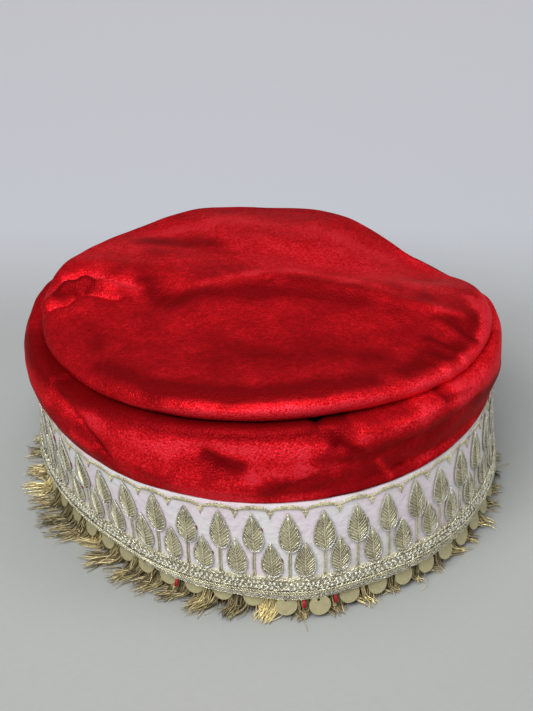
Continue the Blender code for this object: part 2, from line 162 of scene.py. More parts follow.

# How the top's pile lies, with painted highlight, sheen and shade in it. Columns: x, y, x, y,
# width, how much brighter
TOP_PILE_AND_LIGHT_REST = -0.05
TOP_PILE_AND_LIGHT = (
    # Painted highlight along the front and sides of the rolled edge
    (-88, -24, -75, -54, 2.8, 1.1),
    (-75, -54, -52, -78, 4, 2.2),
    (-52, -78, -24, -90, 4.4, 2.4),
    (-24, -90, 8, -92, 4.8, 2.3),
    (8, -92, 38, -84, 4.8, 2),
    (38, -84, 59, -69, 5, 1.3),
    (59, -69, 76, -46, 5, 1.4),
    (76, -46, 87, -16, 4.4, 1.6),
    (87, -16, 88, 8, 4, 1.2),
    # Painted sheen over the far half of the top
    (-60, 40, 60, 44, 26, 0.5),
    (-44, 56, -4, 65, 7, 0.6),
    (20, 56, 44, 48, 7, 0.5),
    # Painted shade on the top just inside its front edge
    (-60, -53, -38, -73, 4, -1),
    (-38, -73, -11, -81, 4.4, -1.2),
    (-11, -81, 18, -79, 4.4, -1.1),
    (18, -79, 38, -72, 4.2, -1.1),
    (-66, -22, -63, -38, 4, -0.5),
    (-84, 2, -79, 13.6, 2, 0.9),
    (-79, 14.5, -66, 15, 2.2, 1.2),
    (-66, 11, -50, 2, 3.4, 1.5),
    (-47, 6, -40, -6, 3.8, -1.2),
    (-34, 1, -24, -3, 3.2, 0.3),
    (-44, 29, -8, 26, 5, -0.45),
    (-24, -3, -4, 2, 3.2, 0.6),
    (-81, 2, -75, 7.5, 2.4, -1.8),
    (-75, 7.5, -68, 7, 2.6, -1.8),
    (-30, 22, 46, 26, 11, 0.35),
    (-83, -5.5, -77, -5, 1.2, 1),
    (-76, -2, -72, 4, 1.2, 1),
    (-72, 4, -57, -3, 1.2, 0.9),
    (-34, -12, -4, -11, 5, -0.7),
    (-4, -11, 14, -9, 4.6, -0.8),
    (14, -9, 34, -13, 4.6, -0.8),
    (34, -13, 68, -23, 4.6, -0.35),
    (50, -62, 60, -50, 3.6, -0.8),
    (60, -50, 74, -36, 4.2, -1.3),
    (78, -30, 83, -12, 3.2, -1.3),
    (-4, 3, 12, 4, 4, 0.6),
    (12, 4, 34, -0.5, 4, 0.6),
    (34, -0.5, 54, -7, 4, 0.35),
    (0, 12, 60, 6, 7, 0.3),
    (-20, -54, 40, -52, 9, -0.35),
    (38, 16, 70, 8, 8, 0.3),
    (-46, 46, -22, 39, 6, -0.9),
    (62, -36, 76, -50, 3, -1),
    (66, -16, 74, -16, 2.4, 0.9),
    (72, -22, 78, -32, 3, -0.9),
    (80, 2, 85, -20, 2.4, 1.2),
    (58, -42, 68, -38, 2, -0.4),
)


def catch(value, low, high):
    """The value kept between two limits."""
    return np.minimum(high, np.maximum(low, value))


def centred(azimuth):
    """Azimuths as places between half a turn to the left and half a turn to the right."""
    return (azimuth + TURN / 2) % TURN - TURN / 2


def plan_direction(azimuth):
    """Outward direction of the oval plan at each azimuth, one radius unit long."""
    angle = np.radians(azimuth)
    return np.stack([np.sin(angle), -OVAL * np.cos(angle)], axis=-1)


def plan_point(azimuth, radius, z):
    """Points in metres from azimuths in degrees and radii and heights in millimetres."""
    azimuth, radius, z = np.broadcast_arrays(azimuth, radius, z)
    flat = AXIS + plan_direction(azimuth) * (radius * MM)[..., None]
    return np.concatenate([flat, (z * MM)[..., None]], axis=-1)


def soften(values, sigma, axis, around):
    """The values blurred along one axis, which may be closed."""
    reach = int(math.ceil(3 * sigma))
    weights = np.exp(-0.5 * (np.arange(-reach, reach + 1) / sigma) ** 2)
    weights /= weights.sum()
    padding = [(0, 0)] * values.ndim
    padding[axis] = (reach, reach)
    padded = np.pad(values, padding, mode="wrap" if around else "edge")
    length = values.shape[axis]
    parts = (weights[k] * np.take(padded, range(k, k + length), axis=axis)
             for k in range(2 * reach + 1))
    return sum(parts)


def strung(first):
    """Azimuths of the sequins or the tassels, from the first one's place on the string."""
    even = (np.arange(SEQUIN_COUNT) + first) * TURN / SEQUIN_COUNT - TURN / 2
    middle, width, shift = STRINGING
    return even + shift * np.exp(-((even - middle) / width) ** 2)


class FrameSurface:
    """A solid of the frame, met by rays in the half-plane of any azimuth."""

    CLEAR = 60.0  # distance from a core point that is clear of the solid

    def __init__(self, node):
        mesh = bpy.data.objects[node].data
        self.tree = BVHTree.FromPolygons([v.co for v in mesh.vertices],
                                         [p.vertices for p in mesh.polygons])

    def meet(self, azimuth, radius, z, run, rise):
        """Radius and height of the first hit of a ray that starts at radius and z."""
        across = plan_direction(azimuth)
        start = plan_point(azimuth, radius, z)
        ray = Vector((across[0] * run, across[1] * run, rise)).normalized()
        hit = self.tree.ray_cast(Vector(start), ray)[0]
        if hit is None:
            return None
        out = (hit.x - AXIS[0]) * across[0] + (hit.y - AXIS[1]) * across[1]
        return out / (across @ across) / MM, hit.z / MM

    def from_outside(self, azimuth, z):
        """The outer face at a height."""
        return self.meet(azimuth, OUTSIDE, z, -1.0, 0.0)

    def from_above(self, azimuth, radius):
        """The top at a radius."""
        return self.meet(azimuth, radius, OVERHEAD, 0.0, -1.0)

    def around(self, azimuth, core, angle):
        """The outer face as seen from a core point, at an angle above level."""
        run, rise = math.cos(math.radians(angle)), math.sin(math.radians(angle))
        radius, z = core[0] + self.CLEAR * run, core[1] + self.CLEAR * rise
        return self.meet(azimuth, radius, z, -run, -rise)


class BandFace:
    """The outer face of the satin band, from the trim's lower edge to the band's top."""

    STEP = 1.5  # degrees between the places that are read
    LOW, HIGH = 18.0, 46.0  # heights where the slope of the face is read
    TRIM_DOWN, TRIM_OUT = 9.0, 0.9  # from the face at LOW to a place over the trim's edge
    BELOW = -5.0  # height clear of the cap, where rays up to the trim start

    def __init__(self):
        band, braid = FrameSurface("satin_band"), FrameSurface("gold_braid")
        self.azimuths = np.arange(0.0, TURN, self.STEP)
        rows = []
        for azimuth in self.azimuths:
            low_r, low_z = band.from_outside(azimuth, self.LOW)
            high_r, high_z = band.from_outside(azimuth, self.HIGH)
            slope = (low_r - high_r) / (high_z - low_z)
            trim = low_r + slope * self.TRIM_DOWN + self.TRIM_OUT
            edge = braid.meet(azimuth, trim, self.BELOW, 0.0, 1.0)[1]
            rows.append((edge, low_r + slope * (low_z - edge), slope))
        self.edge, self.radius, self.slope = soften(np.array(rows), 1.5, 0, True).T

    def read(self, values, azimuth):
        """A value of the face at any azimuth."""
        return np.interp(np.mod(azimuth, TURN), np.append(self.azimuths, TURN),
                         np.append(values, values[0]))

    def at(self, azimuth, height, out=0.0):
        """Points at a height above the trim's edge, raised out from the face.

        The height runs from 0 to FACE_HEIGHT, whatever the band's real height there."""
        edge = self.read(self.edge, azimuth)
        z = edge + (BAND_TOP - edge) * np.asarray(height) / FACE_HEIGHT
        radius = self.read(self.radius, azimuth) - self.read(self.slope, azimuth) * (z - edge)
        return plan_point(azimuth, radius + out, z)


def math_node(operation, reflected=False):
    """An operator of Socket that adds a Math node."""
    def operator(self, other):
        first, second = (other, self) if reflected else (self, other)
        return self.shader.node("ShaderNodeMath", {0: first, 1: second},
                                {"operation": operation})
    return operator


class Socket:
    """A node's output, whose sums and products with others add Math nodes."""

    def __init__(self, shader, link):
        self.shader = shader
        self.link = link

    __add__ = __radd__ = math_node("ADD")
    __mul__ = __rmul__ = math_node("MULTIPLY")
    __sub__ = math_node("SUBTRACT")
    __rsub__ = math_node("SUBTRACT", reflected=True)


class Finish:
    """A material made of a Principled shader and the nodes that feed it."""

    def __init__(self, name):
        self.material = bpy.data.materials.new(name)
        self.material.use_nodes = True
        self.tree = self.material.node_tree
        self.principled = self.tree.nodes["Principled BSDF"]

    def node(self, kind, values=None, settings=None, output=0):
        """Adds a node, sets it up, fills its sockets and returns one of its outputs."""
        made = self.tree.nodes.new(kind)
        for name, setting in (settings or {}).items():
            if name == "stops":
                self.set_stops(made.color_ramp, setting)
            else:
                setattr(made, name, setting)
        for name, value in (values or {}).items():
            self.feed(made.inputs[name], value)
        return Socket(self, made.outputs[output])

    def set_stops(self, ramp, stops):
        """Gives a ramp its stops, each a place and a grey or a colour."""
        while len(ramp.elements) < len(stops):
            ramp.elements.new(0.5)
        for element, (place, colour) in zip(ramp.elements, stops):
            element.position = place
            element.color = (*colour, 1.0) if isinstance(colour, tuple) else (colour,) * 3 + (1,)

    def feed(self, socket, value):
        """Links or sets one socket."""
        if isinstance(value, Socket):
            self.tree.links.new(value.link, socket)
        elif isinstance(value, tuple) and len(value) == 3 and socket.type == "RGBA":
            socket.default_value = (*value, 1.0)
        else:
            socket.default_value = value

    def set(self, values):
        """Feeds the Principled shader's sockets."""
        for name, value in values.items():
            self.feed(self.principled.inputs[name], value)
        return self.material

    def place(self):
        """The surface point in metres, in the cap's own frame."""
        return self.node("ShaderNodeTexCoord", output="Object")

    def attribute(self, name):
        """A value that the piece's mesh carries at each of its vertices."""
        return self.node("ShaderNodeAttribute", settings={"attribute_name": name}, output="Fac")

    def grain(self, size, detail=2.0, roughness=0.5):
        """Noise whose features are this many millimetres across, from 0 to 1."""
        return self.node("ShaderNodeTexNoise", {
            "Vector": self.place(), "Scale": 1.0 / (size * MM), "Detail": detail,
            "Roughness": roughness})

    def ramp(self, factor, *stops):
        """A ramp of greys or colours over a factor."""
        return self.node("ShaderNodeValToRGB", {"Fac": factor}, {"stops": stops})

    def mix(self, factor, first, second):
        """One colour mixed into another."""
        return self.node("ShaderNodeMix", {"Factor": factor, "A": first, "B": second},
                         {"data_type": "RGBA"}, "Result")

    def bump(self, height, depth, normal=None):
        """A bumped normal, with depth in millimetres for a height from 0 to 1."""
        values = {"Height": height, "Distance": depth * MM, "Strength": 1.0}
        if normal:
            values["Normal"] = normal
        return self.node("ShaderNodeBump", values)


def make_piece(name, points, faces, material, smooth=True, marks=None):
    """A mesh object that rides on the cap, with any values that its vertices carry."""
    mesh = bpy.data.meshes.new(name)
    mesh.from_pydata(points.reshape(-1, 3), [], faces.tolist())
    for mark, values in (marks or {}).items():
        mesh.attributes.new(mark, "FLOAT", "POINT").data.foreach_set(
            "value", np.asarray(values, dtype=np.float32).ravel())
    mesh.validate()
    if smooth:
        mesh.shade_smooth()
    mesh.materials.append(material)
    piece = bpy.data.objects.new(name, mesh)
    bpy.context.scene.collection.objects.link(piece)
    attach(piece, "root")
    return piece


def grid_faces(rows, columns, around=True):
    """Quads of a grid of points, closed or open along its rows' direction."""
    row = np.arange(rows if around else rows - 1)
    column = np.arange(columns - 1)
    a, b = np.meshgrid(row, column, indexing="ij")
    after = (a + 1) % rows
    return np.stack([a * columns + b, after * columns + b, after * columns + b + 1,
                     a * columns + b + 1], axis=-1).reshape(-1, 4)


def tubes(paths, radius, sides, up):
    """Closed tubes along paths: points (paths, steps, 3) and radii that broadcast to them."""
    paths = np.asarray(paths, dtype=float)
    count, steps = paths.shape[:2]
    radius = np.broadcast_to(radius, (count, steps)) * MM
    along = np.gradient(paths, axis=1)
    along /= np.linalg.norm(along, axis=-1, keepdims=True) + 1e-12
    up = np.broadcast_to(up, paths.shape)
    side = np.cross(along, up)
    side /= np.linalg.norm(side, axis=-1, keepdims=True) + 1e-12
    lift = np.cross(side, along)
    angle = np.arange(sides) * 2 * math.pi / sides
    ring = (side[:, :, None] * np.cos(angle)[:, None] + lift[:, :, None] * np.sin(angle)[:, None])
    points = paths[:, :, None] + ring * radius[:, :, None, None]
    t, s, k = np.meshgrid(np.arange(count), np.arange(steps - 1), np.arange(sides), indexing="ij")
    base = (t * steps + s) * sides
    after = (k + 1) % sides
    quads = np.stack([base + k, base + after, base + sides + after, base + sides + k], axis=-1)
    return points.reshape(-1, 3), quads.reshape(-1, 4)


def close_ends(count, steps, sides):
    """Faces that close the ends of tubes, each with a corner for every side."""
    first = np.arange(count)[:, None] * steps * sides + np.arange(sides)[None, ::-1]
    last = first[:, ::-1] + (steps - 1) * sides
    return np.concatenate([first, last])


def lay_threads(name, groups, finish, sides=4, tones=None):
    """One piece of threads, from groups of paths (paths, steps, 3) and their radii in mm.

    Threads of four sides get closed ends. tones, if given, is the brightness of each path of
    the only group: each thread's own tone with painted shade and painted highlight."""
    points, faces, total = [], [], 0
    for paths, radius in groups:
        up = paths - np.array([*AXIS, 0.0])
        up[..., 2] = 0.0
        made, quads = tubes(paths, radius, sides, up)
        if sides == 4:
            quads = np.concatenate([quads, close_ends(*paths.shape[:2], sides)])
        points.append(made)
        faces.append(quads + total)
        total += len(made)
    marks = None
    if tones is not None:
        marks = {"tone": np.repeat(tones, total // len(tones))}
    return make_piece(name, np.concatenate(points), np.concatenate(faces), finish,
                      marks=marks)


def wind(across, up, pitch, radius, phase):
    """A strand wound round a path on the band's face, as places across, up and out in mm."""
    run, rise = np.gradient(across, axis=-1), np.gradient(up, axis=-1)
    step = np.hypot(run, rise) + 1e-9
    angle = np.cumsum(step, axis=-1) * 2 * math.pi / pitch + phase
    off = radius * np.cos(angle)
    return across - rise / step * off, up + run / step * off, radius * np.sin(angle)


def in_arcs(strokes):
    """Strokes on the wall with their azimuths in millimetres along the band's face."""
    return [(a * ARC, z_0, b * ARC, z_1, width, value) for a, z_0, b, z_1, width, value in strokes]


def stroke_sum(folds, across, up):
    """The summed displacement of strokes at points, given as two coordinates each."""
    total = np.zeros(np.broadcast(across, up).shape)
    for x_0, y_0, x_1, y_1, width, height in folds:
        run, rise = x_1 - x_0, y_1 - y_0
        t = catch(((across - x_0) * run + (up - y_0) * rise) / (run ** 2 + rise ** 2), 0.0, 1.0)
        away = (across - x_0 - run * t) ** 2 + (up - y_0 - rise * t) ** 2
        total += height * np.exp(-away / width ** 2)
    return total


def grid_normals(points):
    """Unit normals of a grid of points that is closed round the cap, from its neighbours."""
    along = np.roll(points, -1, axis=0) - np.roll(points, 1, axis=0)
    normal = np.cross(along, np.gradient(points, axis=1))
    return normal / (np.linalg.norm(normal, axis=-1, keepdims=True) + 1e-12)


def waver(points, size, seed):
    """Smooth noise at points in metres, about -1 to 1, with features this many mm across."""
    shift = Vector((seed * 3.7, seed * 1.3, seed * 7.1))
    flat = (points / (size * MM)).reshape(-1, 3)
    values = [noise.noise(Vector(p) + shift) for p in flat]
    return np.array(values).reshape(points.shape[:-1])


def make_sheet(name, points, finish, thickness, marks=None):
    """A sheet round the cap, from its outer face, with its cloth's thickness inwards."""
    piece = make_piece(name, points, grid_faces(*points.shape[:2]), finish, marks=marks)
    solid = piece.modifiers.new("cloth", "SOLIDIFY")
    solid.thickness = thickness * MM
    solid.offset = -1.0
    mesh = bpy.data.meshes.new_from_object(piece.evaluated_get(
        bpy.context.evaluated_depsgraph_get()))
    piece.modifiers.clear()
    piece.data = mesh
    return piece


def size_property(name, description, default):
    """A length that a user would change, with its default in millimetres."""
    return bpy.props.FloatProperty(name=name, description=description, default=default * MM,
                                   unit="LENGTH", precision=5)


def colour_property(name, description, default):
    """A colour that a user would change."""
    return bpy.props.FloatVectorProperty(name=name, description="Colour of " + description,
                                         subtype="COLOR", size=3, default=default)


class CapSizes(bpy.types.PropertyGroup):
    """Sizes of the cap's fine pieces."""
    velvet_thickness: size_property("Velvet", "Thickness of the velvet", 1.4)
    thread_width: size_property("Thread", "Width of an embroidery thread", 0.62)
    sequin_width: size_property("Sequin", "Diameter of a sequin", 8.0)


class CapColours(bpy.types.PropertyGroup):
    """Colours of the cap's materials."""
    velvet: colour_property("Velvet", "the pile in full light", (0.56, 0.008, 0.013))
    satin: colour_property("Satin", "the band's ground", (0.8, 0.78, 0.79))
    gold: colour_property("Gold", "the metallic threads", (0.72, 0.66, 0.42))
    fringe: colour_property("Fringe", "the tassels' threads", (0.58, 0.48, 0.25))
    sequin: colour_property("Sequin", "the sequins", (0.56, 0.5, 0.28))


def scaled(colour, scale, lift=0.0):
    """A colour made lighter or darker, and paler by a lift."""
    return tuple(scale * c + lift for c in colour)


def velvet_finish(colour):
    """Crushed velvet, bright in places and dark in others: partly the pile's lie and partly
    painted light and shade.

    The value that the pieces carry as "nap" holds both, from -1 to 1, and noise breaks it into
    tufts."""
    finish = Finish("crushed_velvet")
    nap = finish.attribute("nap")
    patches = finish.grain(12.0, detail=4.0, roughness=0.62)
    tufts = finish.grain(2.0, roughness=0.65)
    pile = finish.grain(0.75, detail=1.0, roughness=0.6)
    ragged = (patches - 0.5) * 0.7 + (tufts - 0.5) * 0.45
    # How the pile lies together with the painted light and shade, broken up by noise
    lie = nap * 0.5 + 0.5 + ragged
    # Speckle that grows where the colour is brightest: painted glints in the painted light
    raised = finish.ramp(lie, (0.45, 0.3), (0.75, 1.3))
    lie = lie + (pile - 0.5) * raised
    # Shaded and lit copies of the velvet colour: painted shade at the low stops, painted highlight
    # and a pale painted sheen at the top
    deep, dark, bright = (scaled(colour, k) for k in (0.42, 0.66, 1.5))
    painted_sheen = (min(1.0, colour[0] * 1.55), colour[1] * 4.0, colour[2] * 4.0)
    base = finish.ramp(lie, (0.1, deep), (0.4, dark), (0.62, tuple(colour)), (0.85, bright),
                       (1.0, painted_sheen))
    lean = finish.bump(pile, 0.4, finish.bump(tufts, 0.25))
    return finish.set({
        "Base Color": base, "Roughness": 0.44, "Metallic": 0.5, "Normal": lean,
        "Specular IOR Level": 0.05, "Specular Tint": (1.0, 0.12, 0.14)})


def satin_finish(colour):
    """Ivory satin: smooth, slightly puckered by the stitching, and pinker in places."""
    finish = Finish("ivory_satin")
    blush = finish.grain(14.0, detail=1.0)
    pucker = finish.grain(2.6, detail=1.0)
    weave = finish.grain(0.3, detail=1.0)
    pink = (colour[0] * 1.02, colour[1] * 0.9, colour[2] * 0.97)
    return finish.set({
        "Base Color": finish.mix(finish.ramp(blush, (0.35, 0.0), (0.65, 1.0)),
                                 tuple(colour), pink),
        "Roughness": 0.36, "Sheen Weight": 0.15,
        "Normal": finish.bump(weave, 0.04, finish.bump(pucker, 0.45))})


def thread_finish(name, colour, roughness, metal, turn_shade=0.42):
    """Metallic thread: a flat foil wound on a core, with painted glints and painted shade along
    its length.

    spread is how dark the painted shade of the dark turns is, as a share of the colour."""
    finish = Finish(name)
    foil = finish.grain(0.6, roughness=0.7)
    shade = foil * 0.7 + finish.grain(6.0) * 0.3
    # Painted glints: a lighter copy of the colour for the turns that would catch the light
    bright = tuple(min(1.0, c * 1.5) for c in colour)
    return finish.set({
        "Base Color": finish.ramp(shade, (0.36, scaled(colour, turn_shade)), (0.5, tuple(colour)),
                                  (0.62, bright)),
        "Metallic": metal, "Roughness": roughness, "Normal": finish.bump(foil, 0.14)})


def fringe_finish(colour):
    """Foil threads of the fringe, whose tone runs from painted shade, dark and dull, to painted
    highlight, with random differences between threads.
    """
    finish = Finish("tassel_foil")
    tone = finish.attribute("tone") + (finish.grain(1.8) - 0.5) * 0.7
    # Low stops are painted shade, the top stop, twice the colour, a painted highlight
    steps = [(place, scaled(colour, k))
             for place, k in ((0.05, 0.2), (0.35, 0.6), (0.65, 1.2), (0.85, 2.1))]
    return finish.set({
        "Base Color": finish.ramp(tone, *steps), "Metallic": 0.4,
        "Roughness": finish.ramp(tone, (0.2, 0.5), (0.9, 0.25))})


def sequin_finish(colour):
    """Flat metallised sequins, matt with faint scratches."""
    finish = Finish("matt_sequin")
    wear = finish.grain(1.5, detail=3.0)
    return finish.set({
        "Base Color": finish.ramp(wear, (0.3, scaled(colour, 0.88)), (0.7, scaled(colour, 1.06))),
        "Metallic": 0.35, "Roughness": finish.ramp(wear, (0.3, 0.36), (0.7, 0.5))})


class CAP_OT_velvet(bpy.types.Operator):
    """Lay the crown's wall and top on the frame's two velvet solids"""
    bl_idname = "cap.velvet"
    bl_label = "Velvet crown"

    SPOKES = 480
    CORE_RADIUS = 80.0  # of the rings that the cloth's rounded parts are seen from
    WALL_CORE_Z = 54.0
    BEHIND = (0.05, 6.0, 12.0, 18.0, 26.0, 38.0, 48.0)  # heights behind the band
    HEM_ROWS = (0.1, 1.2, 2.4)  # heights above the band's top edge
    HEM_SAG = 1.9  # how far the velvet hangs out just above the band
    WALL_ANGLES = (2.0, 84.0, 1.8)  # from the core, above level: first, end and step
    UNDER_SEAM = (1.2, 2.4)  # how far in behind the seam the wall goes on
    SEAM_DROP = 3.0  # the deepest that it may lie there
    SEAM_FILL = 1.4  # how far the wall's ply rises to the top's rolled edge
    SEAM_ROWS = 12  # of the wall's grid, that rise
    FLAT_RINGS = 50  # of the top's grid, inside its rolled edge
    LEVEL_RINGS = 3  # whose cloth lies level at the middle
    MIDDLE = 0.02  # radius of the first ring
    ROLL_ANGLES = (80.0, -88.0, -6.0)
    EDGE_RADIUS = 82.5  # where the top's cloth is over its own rolled edge
    BELOW = -10.0  # height clear of the cap, where rays up to the top start
    BLUR = 4.0  # spokes over which the frame's facets are smoothed

    def execute(self, context):
        thickness = context.scene.cap_sizes.velvet_thickness / MM
        finish = velvet_finish(context.scene.cap_colours.velvet)
        azimuths = np.arange(self.SPOKES) * TURN / self.SPOKES
        self.make_wall(azimuths, finish, thickness)
        self.make_top(azimuths, finish, thickness)
        return {"FINISHED"}

    def make_wall(self, azimuths, finish, thickness):
        """The crown's side, from behind the band up to the seam and a little past it."""
        solid = FrameSurface("velvet_wall")
        rows = []
        heights = (*self.BEHIND, *(BAND_TOP + np.array(self.HEM_ROWS)))
        core = (self.CORE_RADIUS, self.WALL_CORE_Z)
        for azimuth in azimuths:
            behind = [solid.from_outside(azimuth, z) for z in heights]
            free = [solid.around(azimuth, core, angle) for angle in np.arange(*self.WALL_ANGLES)]
            if None in behind + free:
                raise RuntimeError(f"The velvet wall isn't met at azimuth {azimuth}")
            for inwards in self.UNDER_SEAM:
                last = free[-1]
                met = solid.from_above(azimuth, last[0] - inwards)
                free.append(met if met and abs(met[1] - last[1]) < self.SEAM_DROP else last)
            rows.append(behind + free)
        rows = soften(np.array(rows), self.BLUR, 0, True)
        rows[:, len(heights):] = soften(rows[:, len(heights):], 1.2, 1, False)
        share = np.linspace(0.0, 0.5 * np.pi, self.SEAM_ROWS)
        rows[:, -self.SEAM_ROWS:, 1] += self.SEAM_FILL * np.sin(share) ** 2
        z = rows[..., 1]
        points = plan_point(azimuths[:, None], rows[..., 0], z)
        arc = centred(azimuths[:, None]) * ARC
        free = catch(z - BAND_TOP + 0.1, 0.0, 1.0)
        out = stroke_sum(in_arcs(WALL_FOLDS), arc, z)
        out += self.HEM_SAG * np.exp(-((z - BAND_TOP - 1.4) / 2.2) ** 2)
        out += 0.4 * waver(points, 22.0, 1) + 0.25 * waver(points, 9.0, 2)
        points = points + grid_normals(points) * (out * free * MM)[..., None]
        # The pile's lie with painted light and shade, from the wall's strokes
        nap = WALL_PILE_AND_LIGHT_REST + stroke_sum(in_arcs(WALL_PILE_AND_LIGHT), arc, z)
        self.cloth("crown_wall", points, nap, finish, thickness, "velvet_wall")

    def make_top(self, azimuths, finish, thickness):
        """The crown's top, from its middle out and down round its rolled edge."""
        solid = FrameSurface("velvet_top")
        rows = []
        for azimuth in azimuths:
            above = solid.from_above(azimuth, self.EDGE_RADIUS)
            below = solid.meet(azimuth, self.EDGE_RADIUS, self.BELOW, 0.0, 1.0)
            if above is None or below is None:
                raise RuntimeError(f"The crown's edge isn't met at azimuth {azimuth}")
            core = (self.CORE_RADIUS, (above[1] + below[1]) / 2)
            flat = [solid.from_above(azimuth, radius)
                    for radius in np.linspace(0.05, self.CORE_RADIUS, self.FLAT_RINGS)]
            roll = [solid.around(azimuth, core, angle) for angle in np.arange(*self.ROLL_ANGLES)]
            if None in flat + roll:
                raise RuntimeError(f"The crown's top isn't met at azimuth {azimuth}")
            rows.append(flat + roll)
        rows = soften(soften(np.array(rows), self.BLUR, 0, True), 0.8, 1, False)
        rows[:, 0] = (self.MIDDLE, rows[:, 0, 1].mean())
        radius, z = rows[..., 0], rows[..., 1]
        points = plan_point(azimuths[:, None], radius, z)
        reach = radius.copy()
        edge = self.FLAT_RINGS - 1
        ways = np.hypot(np.diff(radius[:, edge:]), np.diff(z[:, edge:]))
        reach[:, edge + 1:] = reach[:, edge:edge + 1] + np.cumsum(ways, axis=1)
        x, y = np.moveaxis(plan_direction(azimuths)[:, None] * reach[..., None], -1, 0)
        out = stroke_sum(TOP_FOLDS, x, y)
        out += (0.5 * waver(points, 30.0, 3) + 0.3 * waver(points, 12.0, 4)) * catch(
            radius / 20.0, 0.0, 1.0)
        normals = grid_normals(points)
        normals[:, :self.LEVEL_RINGS] = (0.0, 0.0, 1.0)
        points = points + normals * (out * MM)[..., None]
        # The pile's lie with painted light and shade, from the top's strokes
        nap = TOP_PILE_AND_LIGHT_REST + stroke_sum(TOP_PILE_AND_LIGHT, x, y)
        self.cloth("crown_top", points, nap, finish, thickness, "velvet_top")

    def cloth(self, name, points, nap, finish, thickness, node):
        """A piece of velvet over a node of the frame, from its outer face and the pile's lie with
        painted light and shade that its vertices carry.
        """
        piece = make_sheet(name, points, finish, thickness,
                           {"nap": catch(nap, -1.0, 1.0)})
        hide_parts(node)


class CAP_OT_band(bpy.types.Operator):
    """Make the ivory satin band"""
    bl_idname = "cap.band"
    bl_label = "Satin band"

    ROWS = 20  # of the satin's grid below its turned-in top edge

    def execute(self, context):
        azimuths = np.arange(0.0, TURN, 0.9)
        heights = np.append(np.linspace(3.0, FACE_HEIGHT - 0.4, self.ROWS), FACE_HEIGHT)
        out = np.append(np.zeros(self.ROWS), -0.5)
        points = BandFace().at(azimuths[:, None], heights, out)
        finish = satin_finish(context.scene.cap_colours.satin)
        piece = make_sheet("satin_ground", points, finish, 0.9)
        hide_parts("satin_band")
        return {"FINISHED"}


